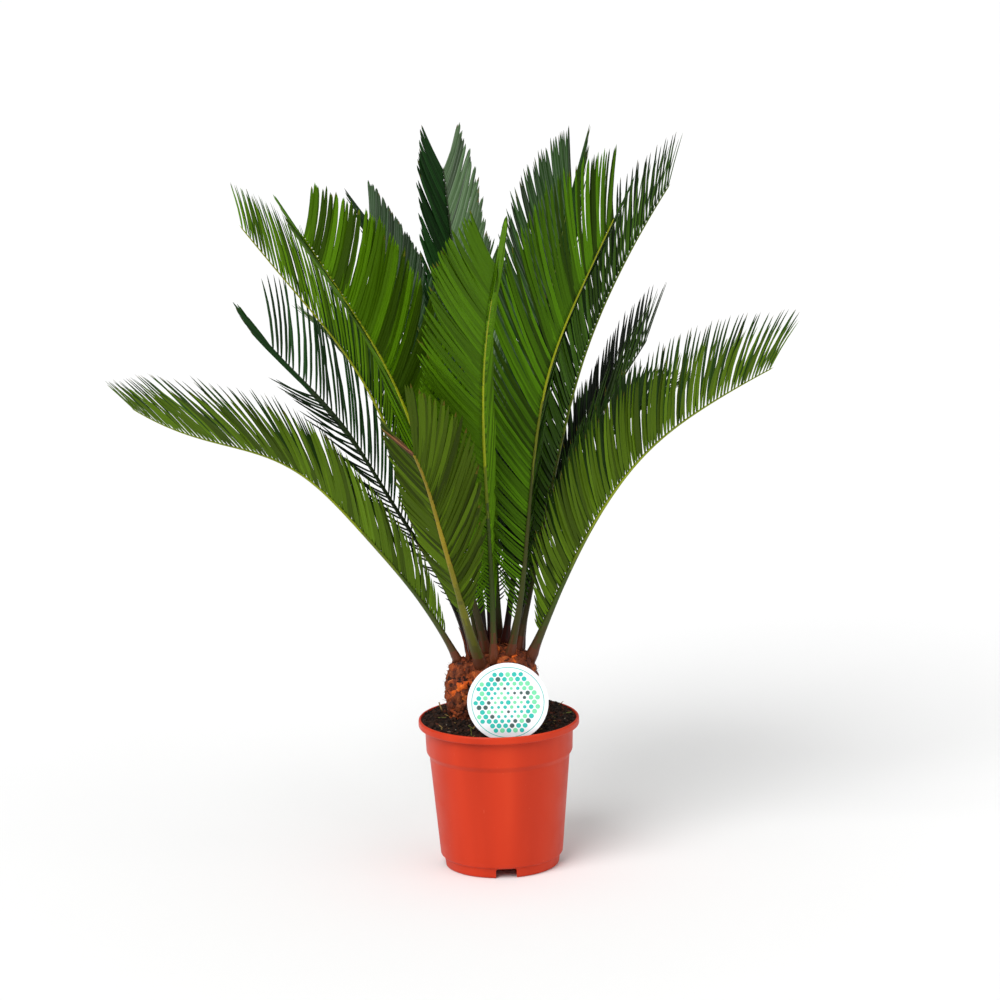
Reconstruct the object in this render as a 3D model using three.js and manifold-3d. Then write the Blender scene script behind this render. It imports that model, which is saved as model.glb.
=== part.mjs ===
// Potted sago palm (Cycas revoluta), millimetres, +Z up.
// The origin is the centre of the pot's underside, and the front faces -Y.
// The pot, its soil, the short scaly trunk, a round plant label on a stake and
// sixteen fronds are separate solids. Each frond is a leaf stalk that opens
// into a thin V-section blade reaching out to the tips of its leaflets.
import * as THREE from 'three';
import Module from 'manifold-3d';
import { mergeVertices } from 'three/addons/utils/BufferGeometryUtils.js';

const wasm = await Module();
wasm.setup();

// ---- driving sizes -------------------------------------------------------
const GAP = 0.35;            // left between neighbouring solids
const SEGMENTS = 40;         // round the pot and the soil

const POT_HEIGHT = 159.8;
const LIP_RADIUS = 85.4;
const LIP_UNDERSIDE = 151.8;
const COLLAR_RADIUS = 78.7;
const COLLAR_BOTTOM = 124.6;
const BODY_TOP_RADIUS = 74.6;
const BODY_BOTTOM_RADIUS = 65.2;
const FOOT_RADIUS = 61.6;
const FOOT_HEIGHT = 10.4;
const PAD_RADIUS = 18;       // centre of the underside, level with the foot ring
const WALL = 1.7;
const NOTCH_WIDTH = 22;
const NOTCH_FIRST = -86;     // degrees, then one each quarter turn

const SOIL_LEVEL = 159.6;    // flat round the trunk
const TRUNK_BASE = SOIL_LEVEL + GAP;

const LABEL_RADIUS = 42.4;
const LABEL_THICKNESS = 1.2;
const LABEL_CENTRE = [10, -68, 193.2];
const STAKE_WIDTH = 9;
const STAKE_END = 110;

// stalk half width and half thickness, at the trunk and where leaflets begin
const STALK = { wide: [4.9, 3.1], thick: [3.9, 2.5], sunk: 12 };
const BLADE = { ridge: [2.5, 1.5], edge: 0.8, rings: 13, narrow: 0.1 };
const LEAF_CURL = 0.35;      // how far a leaflet's tip swings towards the frond's tip

// Frond sizes: base point, compass direction and its drift along the frond,
// rib length, climb above level at five stations, share of bare stalk, longest
// leaflet, leaflet sweep from the rib at five stations, lift of the two leaflet
// rows, roll of the frond, leaflet length shares at five stations, and for each
// row the shares of the blade between which it opens to its full width, because
// the blades stay clear of one another where the fronds stand close together.
// Where a frond's two rows differ, skew adds to the sweep of each, lean to its
// lift, and reach is its share of the length.
const FRONDS = [
  { name: 'frond_left_low', base: [-43, 0, 228], az: 190.1, drift: 0.2, len: 446.8, rise: [62.1, 51.5, 47.6, 18.6, 34.6], bare: 0.15, leaf: 107, sweep: [42, 40, 40, 46, 30], vee: 44, roll: 0, grow: [0.72, 0.95, 0.95, 0.96, 0.38], full: [[-0.01, 0.05], [-0.01, 0.2]] },
  { name: 'frond_left_back', base: [-29, 16, 230], az: 158.3, drift: -1.3, len: 431.8, rise: [76.3, 55.6, 56.9, 45.2, 41.8], bare: 0.22, leaf: 120, sweep: [60, 50, 46, 42, 8], vee: 35, roll: -9, skew: [22, -12], lean: [-15, 0], reach: [0.78, 1], grow: [0.5, 0.9, 1, 0.95, 0.2], full: [[-0.01, 0.2], [0, 0.46]] },
  { name: 'frond_upper_left_outer', base: [-25, -1, 234], az: 205.6, drift: 2.5, len: 533.4, rise: [74.7, 68.3, 66.2, 51.5, 51.5], bare: 0.2, leaf: 104, sweep: [54, 43, 39, 40, 39], vee: 68, roll: 0, skew: [-12, -2], grow: [0.5, 0.9, 1, 0.9, 0.42], full: [[0.16, 0.72], [0.06, 0.56]] },
  { name: 'frond_upper_left_front', base: [-12, -8, 236], az: 225.2, drift: 2.3, len: 527.1, rise: [75, 66.7, 66.5, 53.5, 50.7], bare: 0.2, leaf: 112, sweep: [60, 50, 46, 42, 31], vee: 42, roll: 12, skew: [0, -3], lean: [0, -12], grow: [0.5, 0.9, 1, 0.95, 0.55], full: [[-0.01, 0.42], [0.16, 0.72]] },
  { name: 'frond_front_short', base: [-18, -24, 226], az: 244.7, drift: -0.8, len: 283, rise: [56, 62, 63, 63, 50], bare: 0.3, leaf: 107, sweep: [50, 44, 38, 32, 20], vee: 26, roll: 0, skew: [-4, 8], lean: [0, -14], reach: [1, 0.6], grow: [0.35, 0.8, 1, 1, 0.95], full: [[-0.01, 0.05], [-0.01, 0.05]] },
  { name: 'frond_front_tall', base: [-4, -24, 234], az: 258.1, drift: 23.2, len: 528, rise: [96.5, 73, 54.9, 45.6, 45.2], bare: 0.2, leaf: 118, sweep: [50, 38, 32, 29, 24], vee: 38, roll: 28, skew: [-12, 3], reach: [0.92, 1], grow: [0.5, 0.9, 1, 1, 0.7], full: [[-0.01, 0.22], [-0.01, 0.42]] },
  { name: 'frond_top_back', base: [-5, 20, 240], az: 109.5, drift: -3.6, len: 505.2, rise: [82.9, 77.8, 72.5, 72.1, 68.7], bare: 0.24, leaf: 104, sweep: [50, 38, 30, 27, 26], vee: 20, roll: 10, skew: [3, -3], grow: [0.5, 0.9, 1, 0.88, 0.55], full: [[0.19, 0.78], [0.06, 0.56]] },
  { name: 'frond_back_left', base: [-14, 13.5, 239], az: 139.6, drift: -1.2, len: 469.1, rise: [88.2, 80.1, 71.4, 62.8, 55.2], bare: 0.24, leaf: 100, sweep: [60, 50, 40, 30, 18], vee: 32, roll: -22, skew: [0, 5], grow: [0.5, 0.9, 0.86, 0.68, 0.44], full: [[-0.01, 0.32], [0.19, 0.78]] },
  { name: 'frond_upper_right_front', base: [14, -16, 234], az: 316.1, drift: 0.4, len: 496.5, rise: [71.9, 82, 77.8, 61.1, 57.7], bare: 0.2, leaf: 114, sweep: [60, 47, 40, 36, 22], vee: 44, roll: -14, skew: [-6, 0], reach: [0.62, 1], grow: [0.5, 0.95, 1.12, 1.18, 0.74], full: [[-0.01, 0.05], [-0.01, 0.22]] },
  { name: 'frond_right_tall', base: [22, 6, 234], az: 20, drift: 0, len: 514.9, rise: [75.8, 76.3, 73.7, 62.1, 53.5], bare: 0.22, leaf: 100, sweep: [56, 45, 39, 35, 28], vee: 64, roll: 0, skew: [0, 4], grow: [0.5, 0.9, 1, 0.9, 0.6], full: [[0.16, 0.72], [-0.01, 0.2]] },
  { name: 'frond_right_back', base: [25, 20, 232], az: 40, drift: 1.1, len: 363.6, rise: [80, 68.4, 55.4, 47.6, 44.7], bare: 0.26, leaf: 82, sweep: [32, 28, 26, 24, 22], vee: 34, roll: 2, skew: [7, 4], lean: [0, 46], grow: [0.25, 0.45, 0.8, 1, 0.88], full: [[-0.01, 0.05], [-0.01, 0.05]] },
  { name: 'frond_right_low', base: [36, -2, 230], az: 351.5, drift: -2.1, len: 412, rise: [65.4, 63.6, 53.5, 33.5, 25], bare: 0.15, leaf: 103, sweep: [56, 52, 53, 57, 38], vee: 62, roll: 8, grow: [0.65, 0.95, 0.98, 0.84, 0.66], full: [[-0.01, 0.2], [-0.01, 0.05]] },
  { name: 'frond_top_right_back', base: [9, 17, 241], az: 52, drift: -1.4, len: 482, rise: [75.8, 76.2, 76.1, 72.5, 68.2], bare: 0.26, leaf: 116, sweep: [50, 44, 42, 33, 19], vee: 26, roll: -8, skew: [0, -8], grow: [0.45, 0.85, 1, 1, 0.62], full: [[0.06, 0.56], [0.16, 0.72]] },
  { name: 'frond_rear', base: [1, 33, 236], az: 96, drift: 0, len: 460, rise: [84, 72, 58, 42, 26], bare: 0.22, leaf: 100, sweep: [60, 50, 46, 40, 24], vee: 38, roll: 0, grow: [0.45, 0.9, 1, 0.88, 0.6], full: [[-0.01, 0.14], [-0.01, 0.22]] },
  { name: 'frond_rear_right', base: [17, 30, 233], az: 50, drift: 0, len: 370, rise: [72, 56, 40, 24, 10], bare: 0.22, leaf: 95, sweep: [60, 50, 46, 40, 24], vee: 38, roll: 0, grow: [0.45, 0.9, 1, 0.88, 0.6], full: [[-0.01, 0.05], [-0.01, 0.14]] },
  { name: 'frond_rear_left', base: [-18, 27, 231], az: 126, drift: 0, len: 430, rise: [74, 62, 48, 34, 20], bare: 0.22, leaf: 95, sweep: [60, 50, 46, 40, 24], vee: 38, roll: 0, grow: [0.45, 0.9, 1, 0.88, 0.6], full: [[0, 0.46], [-0.01, 0.05]] },
];

// ---- small helpers -------------------------------------------------------
const rad = THREE.MathUtils.degToRad;
const lerp = THREE.MathUtils.lerp;

// smooth curve through values at even stations
function along(values, share) {
  const last = values.length - 1;
  const x = Math.min(Math.max(share, 0), 1) * last;
  const i = Math.min(Math.floor(x), last - 1);
  const t = x - i;
  const v = (k) => (k < 0 ? 2 * values[0] - values[1]
    : k > last ? 2 * values[last] - values[last - 1] : values[k]);
  const [a, b, c, d] = [v(i - 1), v(i), v(i + 1), v(i + 2)];
  return 0.5 * (2 * b + (c - a) * t + (2 * a - 5 * b + 4 * c - d) * t * t
    + (3 * b - a - 3 * c + d) * t * t * t);
}

function toManifold(geometry) {
  const g = geometry.clone();
  g.deleteAttribute('normal');
  g.deleteAttribute('uv');
  const merged = mergeVertices(g, 1e-4);
  return new wasm.Manifold(new wasm.Mesh({
    numProp: 3,
    vertProperties: Float32Array.from(merged.attributes.position.array),
    triVerts: Uint32Array.from(merged.index.array),
  }));
}

function fromManifold(solid) {
  const m = solid.getMesh();
  const g = new THREE.BufferGeometry();
  const points = new Float32Array((m.vertProperties.length / m.numProp) * 3);
  for (let i = 0; i < points.length / 3; i++) {
    for (let k = 0; k < 3; k++) points[i * 3 + k] = m.vertProperties[i * m.numProp + k];
  }
  g.setAttribute('position', new THREE.BufferAttribute(points, 3));
  g.setIndex(Array.from(m.triVerts));
  g.computeVertexNormals();
  return g;
}

// a lathe about +Z from [radius, height] pairs
function turned(profile, segments) {
  const g = new THREE.LatheGeometry(profile.map(([r, z]) => new THREE.Vector2(r, z)), segments);
  g.rotateX(Math.PI / 2);
  return g;
}

// ---- frond shape ---------------------------------------------------------
const SPINE_STEPS = 60;

function spine(f) {
  const at = [new THREE.Vector3(...f.base)];
  for (let i = 0; i < SPINE_STEPS; i++) {
    const s = (i + 0.5) / SPINE_STEPS;
    const climb = rad(along(f.rise, s));
    const az = rad(f.az + f.drift * s);
    const step = f.len / SPINE_STEPS;
    at.push(at[i].clone().add(new THREE.Vector3(
      Math.cos(climb) * Math.cos(az), Math.cos(climb) * Math.sin(az), Math.sin(climb),
    ).multiplyScalar(step)));
  }
  const tip = at[SPINE_STEPS];
  const out = new THREE.Vector3(tip.x - f.base[0], tip.y - f.base[1], 0).normalize();
  return { at, out };
}

// point, direction, inner normal and side direction at a share of the rib
function frame(f, line, share) {
  const x = Math.min(Math.max(share, 0), 1) * SPINE_STEPS;
  const i = Math.min(Math.floor(x), SPINE_STEPS - 1);
  const point = line.at[i].clone().lerp(line.at[i + 1], x - i);
  const before = line.at[Math.max(i - 1, 0)];
  const after = line.at[Math.min(i + 2, SPINE_STEPS)];
  const along_ = after.clone().sub(before).normalize();
  const up = line.out.clone().negate().addScaledVector(along_, line.out.dot(along_)).normalize();
  const side = along_.clone().cross(up);
  const c = Math.cos(rad(f.roll));
  const s = Math.sin(rad(f.roll));
  const normal = up.clone().multiplyScalar(c).addScaledVector(side, s);
  const across = side.clone().multiplyScalar(c).addScaledVector(up, -s);
  if (share < 0) point.addScaledVector(along_, share * f.len);
  return { point, along: along_, normal, across };
}

// reach of the leaflet of one row (side -1 or 1) at a share of the blade
function leaflet(f, fr, t, side) {
  const row = side < 0 ? 0 : 1;
  const sweep = rad(along(f.sweep, t) + (f.skew ? f.skew[row] : 0));
  const lift = rad(f.vee + (f.lean ? f.lean[row] : 0));
  const length = f.leaf * along(f.grow, t) * (f.reach ? f.reach[row] : 1);
  const d = fr.along.clone().multiplyScalar(Math.cos(sweep))
    .addScaledVector(fr.across, Math.sin(sweep) * Math.cos(lift) * side)
    .addScaledVector(fr.normal, Math.sin(sweep) * Math.sin(lift));
  const curl = fr.along.clone().addScaledVector(d, -fr.along.dot(d));
  return d.clone().addScaledVector(curl, 0.5 * LEAF_CURL).multiplyScalar(length);
}

// Rings along a frond: each gives the six points at side -1, 0, 1 and face -1, 1.
function stalkRing(f, line, share, spare) {
  const fr = frame(f, line, share);
  const k = Math.min(Math.max(share / f.bare, 0), 1);
  const wide = lerp(STALK.wide[0], STALK.wide[1], k) + spare;
  const thick = lerp(STALK.thick[0], STALK.thick[1], k) + spare;
  return (side, face) => fr.point.clone()
    .addScaledVector(fr.across, side * wide)
    .addScaledVector(fr.normal, face * thick);
}

function bladeRing(f, line, t) {
  const fr = frame(f, line, f.bare + (1 - f.bare) * t);
  const ridge = lerp(BLADE.ridge[0], BLADE.ridge[1], t);
  return (side, face) => {
    if (side === 0) {
      const p = fr.point.clone();
      if (t === 1) p.addScaledVector(fr.along, 0.75 * f.leaf * f.grow[4]);
      return p.addScaledVector(fr.normal, face * ridge);
    }
    const [from, to] = f.full[side < 0 ? 0 : 1];
    const open = THREE.MathUtils.smoothstep(t, from, to);
    const reach = leaflet(f, fr, t, side);
    const skin = fr.along.clone().cross(reach).normalize();
    if (skin.dot(fr.normal) < 0) skin.negate();
    return fr.point.clone()
      .addScaledVector(reach, lerp(BLADE.narrow, 1, open))
      .addScaledVector(skin, face * BLADE.edge);
  };
}

// a closed strip, two quads wide, laid through the rings
function loft(rings) {
  const n = rings.length - 1;
  const g = new THREE.BoxGeometry(2, 2, n, 2, 1, n);
  const p = g.attributes.position;
  for (let i = 0; i < p.count; i++) {
    const ring = Math.round(n / 2 - p.getZ(i));
    const q = rings[ring](Math.round(p.getX(i)), Math.round(p.getY(i)));
    p.setXYZ(i, q.x, q.y, q.z);
  }
  // both skins are split along the same diagonals, so a twisted blade keeps its thickness
  const index = Array.from(g.index.array);
  const { start, count } = g.groups[3];
  for (let i = start; i < start + count; i += 6) {
    const [a, b, d, , c] = index.slice(i, i + 6);
    index.splice(i, 6, a, b, c, a, c, d);
  }
  g.setIndex(index);
  g.computeVertexNormals();
  return g;
}

function frondGeometry(f) {
  const line = spine(f);
  const rings = [-STALK.sunk / f.len, 0, f.bare * 0.33, f.bare * 0.66, f.bare * 0.96]
    .map((s) => stalkRing(f, line, s, 0));
  for (let k = 0; k < BLADE.rings; k++) rings.push(bladeRing(f, line, k / (BLADE.rings - 1)));
  return loft(rings);
}

function socketGeometry(f) {
  const line = spine(f);
  const rings = [-(STALK.sunk + GAP) / f.len, 0, 22 / f.len, 45 / f.len]
    .map((s) => stalkRing(f, line, s, GAP));
  return loft(rings);
}

// ---- pot -----------------------------------------------------------------
const floorUnderside = FOOT_HEIGHT - 0.2;
const floorTop = floorUnderside + 1.9;
const potProfile = [
  [0, 0], [PAD_RADIUS, 0], [PAD_RADIUS + 0.6, floorUnderside], [57.4, floorUnderside],
  [57.8, 0], [60.4, 0], [61.3, 1.6], [FOOT_RADIUS + 0.8, FOOT_HEIGHT],
  [BODY_BOTTOM_RADIUS, FOOT_HEIGHT + 1.8], [BODY_TOP_RADIUS, COLLAR_BOTTOM - 5],
  [COLLAR_RADIUS - 0.8, COLLAR_BOTTOM], [COLLAR_RADIUS, LIP_UNDERSIDE],
  [LIP_RADIUS - 0.5, LIP_UNDERSIDE], [LIP_RADIUS, LIP_UNDERSIDE + 1],
  [LIP_RADIUS, POT_HEIGHT - 1.2], [LIP_RADIUS - 1, POT_HEIGHT], [LIP_RADIUS - 2.6, POT_HEIGHT],
  [LIP_RADIUS - 3.6, LIP_UNDERSIDE + 1.6], [COLLAR_RADIUS - WALL, LIP_UNDERSIDE - 2],
  [COLLAR_RADIUS - WALL - 0.8, COLLAR_BOTTOM + 1], [BODY_TOP_RADIUS - WALL, COLLAR_BOTTOM - 4],
  [BODY_BOTTOM_RADIUS - WALL, floorTop + 1], [BODY_BOTTOM_RADIUS - WALL - 1.2, floorTop],
  [0, floorTop],
];
let potSolid = toManifold(turned(potProfile, SEGMENTS));
for (let k = 0; k < 4; k++) {
  const notch = new THREE.BoxGeometry(14, NOTCH_WIDTH, FOOT_HEIGHT - 0.2 + 5);
  notch.translate(60, 0, (FOOT_HEIGHT - 0.2 - 5) / 2);
  notch.rotateZ(rad(NOTCH_FIRST + 90 * k));
  potSolid = potSolid.subtract(toManifold(notch));
}

// ---- label: a disc on a stake, one flat sheet --------------------------------
function labelGeometry(spare) {
  const r = LABEL_RADIUS + spare;
  const w = STAKE_WIDTH / 2 + spare;
  const foot = STAKE_END - LABEL_CENTRE[2] - spare;
  const a = Math.asin(w / r);
  const s = new THREE.Shape();
  s.moveTo(0, foot);
  s.lineTo(w, foot + STAKE_WIDTH);
  s.lineTo(w, -Math.cos(a) * r);
  s.absarc(0, 0, r, -Math.PI / 2 + a, Math.PI * 1.5 - a, false);
  s.lineTo(-w, foot + STAKE_WIDTH);
  s.closePath();
  const depth = LABEL_THICKNESS + 2 * spare;
  const g = new THREE.ExtrudeGeometry(s, { depth, bevelEnabled: false, curveSegments: 48 });
  g.translate(0, 0, -depth / 2);
  g.rotateX(Math.PI / 2);
  g.translate(...LABEL_CENTRE);
  return g;
}

// ---- soil: fills the pot, heaped behind and at the sides, lower at the label --
const SOIL_PLATEAU = 54;
const soilProfile = [
  [0, floorTop + GAP], [BODY_BOTTOM_RADIUS - WALL - 1.6, floorTop + GAP],
  [BODY_BOTTOM_RADIUS - WALL - GAP, floorTop + 1.6],
  [BODY_TOP_RADIUS - WALL - GAP, COLLAR_BOTTOM - 3.9],
  [COLLAR_RADIUS - WALL - 0.8 - GAP, COLLAR_BOTTOM + 1.3],
  [COLLAR_RADIUS - WALL - GAP, LIP_UNDERSIDE - 1.7],
  [LIP_RADIUS - 3.6 - GAP, LIP_UNDERSIDE + 2.2], [LIP_RADIUS - 3.2 - GAP, POT_HEIGHT - 2.2],
  [73, POT_HEIGHT - 0.9], [63, POT_HEIGHT - 0.3], [SOIL_PLATEAU, SOIL_LEVEL], [0, SOIL_LEVEL],
];
const soilLathe = turned(soilProfile, SEGMENTS);
{
  const p = soilLathe.attributes.position;
  for (let i = 0; i < p.count; i++) {
    const r = Math.hypot(p.getX(i), p.getY(i));
    if (p.getZ(i) < POT_HEIGHT - 2.5 || r < SOIL_PLATEAU + 1) continue;
    const a = Math.atan2(p.getY(i), p.getX(i));
    const heap = r > 79 ? 0.9 : r > 70 ? 2.3 : 1.6;
    const dip = r > 79 ? 3.1 : r > 70 ? 4.3 : 4;
    const lump = 0.45 * Math.sin(5 * a + 1) + 0.35 * Math.sin(11 * a);
    const rise = heap * Math.max(0, 0.55 + 0.55 * Math.sin(a) + lump);
    p.setZ(i, p.getZ(i) + lerp(rise, -dip, THREE.MathUtils.smoothstep(-Math.sin(a), 0.78, 0.9)));
  }
}
const soilSolid = toManifold(soilLathe).subtract(toManifold(labelGeometry(GAP + 0.05)));

// ---- trunk: a squat main head with a side head on its left -------------------
// leaf-base scales stand out in a spiral
function head(centre, profile, scale, segments) {
  const g = turned(profile, segments);
  const p = g.attributes.position;
  for (let i = 0; i < p.count; i++) {
    const r = Math.hypot(p.getX(i), p.getY(i));
    const z = p.getZ(i);
    if (r < 1 || z < TRUNK_BASE + 2) continue;
    const a = Math.atan2(p.getY(i), p.getX(i));
    const bump = 1 + scale * Math.sin(5 * a + z / 4.2) * Math.sin(3 * a - z / 5);
    p.setXY(i, p.getX(i) * bump, p.getY(i) * bump);
  }
  g.translate(...centre);
  return g;
}
const mainHead = head([4, 2, 0], [
  [0, TRUNK_BASE], [36, TRUNK_BASE], [38.5, 168], [40.5, 180], [41, 192], [40, 204],
  [38, 215], [36, 223], [31, 229], [22, 234.5], [11, 237.5], [0, 238.5],
], 0.035, 30);
const sideHead = head([-37, -2, 0], [
  [0, TRUNK_BASE], [15, TRUNK_BASE], [18.5, 168], [21, 178], [21.8, 188], [20.5, 199],
  [18, 209], [15.5, 217], [11.5, 223], [6, 226], [0, 227],
], 0.05, 22);
let trunkSolid = toManifold(mainHead).add(toManifold(sideHead));
for (const f of FRONDS) trunkSolid = trunkSolid.subtract(toManifold(socketGeometry(f)));

// ---- the plant -----------------------------------------------------------
const plastic = new THREE.MeshStandardMaterial({ color: 0xd6421f, roughness: 0.5, metalness: 0 });
const soil = new THREE.MeshStandardMaterial({ color: 0x2a1a12, roughness: 0.95, metalness: 0 });
const bark = new THREE.MeshStandardMaterial({ color: 0x7a3a1c, roughness: 0.8, metalness: 0 });
const card = new THREE.MeshStandardMaterial({ color: 0xf3f3f5, roughness: 0.45, metalness: 0 });
const green = (hex) => new THREE.MeshStandardMaterial({ color: hex, roughness: 0.5, metalness: 0 });
const GREENS = [0x3f7a12, 0x20402a, 0x4f8c14];

const plant = new THREE.Group();
function addPart(name, geometry, material) {
  const mesh = new THREE.Mesh(geometry, material);
  mesh.name = name;
  plant.add(mesh);
}
addPart('pot', fromManifold(potSolid), plastic);
addPart('soil', fromManifold(soilSolid), soil);
addPart('trunk', fromManifold(trunkSolid), bark);
addPart('plant_label', labelGeometry(0), card);
FRONDS.forEach((f, i) => addPart(f.name, frondGeometry(f), green(GREENS[i % GREENS.length])));

export default plant;
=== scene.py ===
import math
import random

import bmesh
import bpy
import numpy as np
from mathutils import Matrix, Vector, noise


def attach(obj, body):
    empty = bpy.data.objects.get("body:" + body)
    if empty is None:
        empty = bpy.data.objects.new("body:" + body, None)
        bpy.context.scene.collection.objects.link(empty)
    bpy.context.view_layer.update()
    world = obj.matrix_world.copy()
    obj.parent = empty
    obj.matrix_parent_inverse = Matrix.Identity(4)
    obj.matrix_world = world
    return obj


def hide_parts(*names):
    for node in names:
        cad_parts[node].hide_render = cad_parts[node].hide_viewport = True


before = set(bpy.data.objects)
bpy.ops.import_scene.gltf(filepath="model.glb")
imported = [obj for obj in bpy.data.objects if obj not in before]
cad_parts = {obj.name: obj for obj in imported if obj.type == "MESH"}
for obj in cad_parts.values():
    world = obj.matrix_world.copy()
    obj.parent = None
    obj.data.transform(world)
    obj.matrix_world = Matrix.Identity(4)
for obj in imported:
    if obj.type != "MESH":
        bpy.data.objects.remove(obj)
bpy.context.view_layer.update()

MM = 0.001
rng = random.Random(4207)


# ---- colours and materials ---------------------------------------------------
def lin(r, g, b):
    """Display colour 0..255 to linear."""
    out = []
    for c in (r, g, b):
        c /= 255.0
        out.append(c / 12.92 if c <= 0.04045 else ((c + 0.055) / 1.055) ** 2.4)
    return (*out, 1.0)


def plain(name, rgb, rough=0.45, spec=0.5, coat=0.0, coat_rough=0.25):
    m = bpy.data.materials.new(name)
    m.use_nodes = True
    b = m.node_tree.nodes["Principled BSDF"]
    b.inputs["Base Color"].default_value = lin(*rgb)
    b.inputs["Roughness"].default_value = rough
    b.inputs["Specular IOR Level"].default_value = spec
    b.inputs["Coat Weight"].default_value = coat
    b.inputs["Coat Roughness"].default_value = coat_rough
    m.diffuse_color = lin(*rgb)
    return m


class Nodes:
    """Short hand for building a node material round one Principled shader."""

    def __init__(self, name, rough=0.5, spec=0.5):
        self.m = bpy.data.materials.new(name)
        self.m.use_nodes = True
        self.t = self.m.node_tree
        self.b = self.t.nodes["Principled BSDF"]
        self.b.inputs["Roughness"].default_value = rough
        self.b.inputs["Specular IOR Level"].default_value = spec
        self.co = self.t.nodes.new("ShaderNodeTexCoord").outputs["Object"]

    def link(self, a, b):
        self.t.links.new(a, b)

    def mapped(self, scale):
        n = self.t.nodes.new("ShaderNodeMapping")
        n.inputs["Scale"].default_value = scale
        self.link(self.co, n.inputs["Vector"])
        return n.outputs["Vector"]

    def noise(self, scale, detail=3.0, rough=0.5, vec=None, distortion=0.0):
        n = self.t.nodes.new("ShaderNodeTexNoise")
        n.inputs["Scale"].default_value = scale
        n.inputs["Detail"].default_value = detail
        n.inputs["Roughness"].default_value = rough
        n.inputs["Distortion"].default_value = distortion
        self.link(vec or self.co, n.inputs["Vector"])
        return n.outputs["Fac"]

    def voronoi(self, scale, feature="F1", vec=None):
        n = self.t.nodes.new("ShaderNodeTexVoronoi")
        n.feature = feature
        n.inputs["Scale"].default_value = scale
        self.link(vec or self.co, n.inputs["Vector"])
        return n.outputs["Distance"]

    def ramp(self, fac, stops, ease="LINEAR"):
        n = self.t.nodes.new("ShaderNodeValToRGB")
        n.color_ramp.interpolation = ease
        while len(n.color_ramp.elements) < len(stops):
            n.color_ramp.elements.new(0.5)
        for e, (at, rgb) in zip(n.color_ramp.elements, stops):
            e.position = at
            e.color = lin(*rgb) if len(rgb) == 3 else rgb
        self.link(fac, n.inputs["Fac"])
        return n.outputs["Color"]

    def grey(self, fac, a, va, b, vb):
        return self.ramp(fac, [(a, (va, va, va, 1.0)), (b, (vb, vb, vb, 1.0))])

    def mix(self, fac, a, b, way="MIX"):
        n = self.t.nodes.new("ShaderNodeMix")
        n.data_type = "RGBA"
        n.blend_type = way
        if isinstance(fac, float):
            n.inputs[0].default_value = fac
        else:
            self.link(fac, n.inputs[0])
        for sock, v in ((n.inputs[6], a), (n.inputs[7], b)):
            if isinstance(v, tuple):
                sock.default_value = v if len(v) == 4 else lin(*v)
            else:
                self.link(v, sock)
        return n.outputs[2]

    def bump(self, height, strength, distance):
        n = self.t.nodes.new("ShaderNodeBump")
        n.inputs["Strength"].default_value = strength
        n.inputs["Distance"].default_value = distance
        self.link(height, n.inputs["Height"])
        if self.b.inputs["Normal"].is_linked:
            self.link(self.b.inputs["Normal"].links[0].from_socket, n.inputs["Normal"])
        self.link(n.outputs["Normal"], self.b.inputs["Normal"])

    def base(self, colour):
        self.link(colour, self.b.inputs["Base Color"])

    def roughness(self, value):
        self.link(value, self.b.inputs["Roughness"])


# ---- mesh helper -----------------------------------------------------------------
class Shape:
    """Gathers verts (mm), faces, a material index for each face and sharp edges."""

    def __init__(self):
        self.v, self.f, self.m, self.sharp = [], [], [], []

    def add(self, verts, faces, mats, sharp=()):
        n = len(self.v)
        self.v.extend(verts)
        self.f.extend([tuple(i + n for i in f) for f in faces])
        self.m.extend([mats] * len(faces) if isinstance(mats, int) else mats)
        self.sharp.extend([(a + n, b + n) for a, b in sharp])

    def object(self, name, materials, smooth=True, angle=None):
        me = bpy.data.meshes.new(name)
        me.from_pydata([(x * MM, y * MM, z * MM) for x, y, z in self.v], [], self.f)
        for mat in materials:
            me.materials.append(mat)
        me.polygons.foreach_set("material_index", self.m)
        me.polygons.foreach_set("use_smooth", [smooth] * len(self.f))
        if self.sharp:
            want = {(min(a, b), max(a, b)) for a, b in self.sharp}
            flags = [tuple(sorted(e.vertices)) in want for e in me.edges]
            att = me.attributes.new("sharp_edge", "BOOLEAN", "EDGE")
            att.data.foreach_set("value", flags)
        if angle is not None:
            me.set_sharp_from_angle(angle=math.radians(angle))
        me.validate()
        me.update()
        ob = bpy.data.objects.new(name, me)
        bpy.context.scene.collection.objects.link(ob)
        return ob


def along(values, share):
    """Smooth curve through values at even stations."""
    last = len(values) - 1
    x = min(max(share, 0.0), 1.0) * last
    i = min(int(x), last - 1)
    t = x - i

    def v(k):
        if k < 0:
            return 2 * values[0] - values[1]
        if k > last:
            return 2 * values[last] - values[last - 1]
        return values[k]

    a, b, c, d = v(i - 1), v(i), v(i + 1), v(i + 2)
    return 0.5 * (2 * b + (c - a) * t + (2 * a - 5 * b + 4 * c - d) * t * t
                  + (3 * b - a - 3 * c + d) * t ** 3)


def unit(v):
    return v / np.linalg.norm(v)


def ring_faces(n_rings, n_round, caps=True):
    faces = []
    for k in range(n_rings - 1):
        for j in range(n_round):
            a, b = k * n_round + j, k * n_round + (j + 1) % n_round
            faces.append((a, b, b + n_round, a + n_round))
    if caps:
        faces.append(tuple(reversed(range(n_round))))
        faces.append(tuple(range((n_rings - 1) * n_round, n_rings * n_round)))
    return faces


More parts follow.
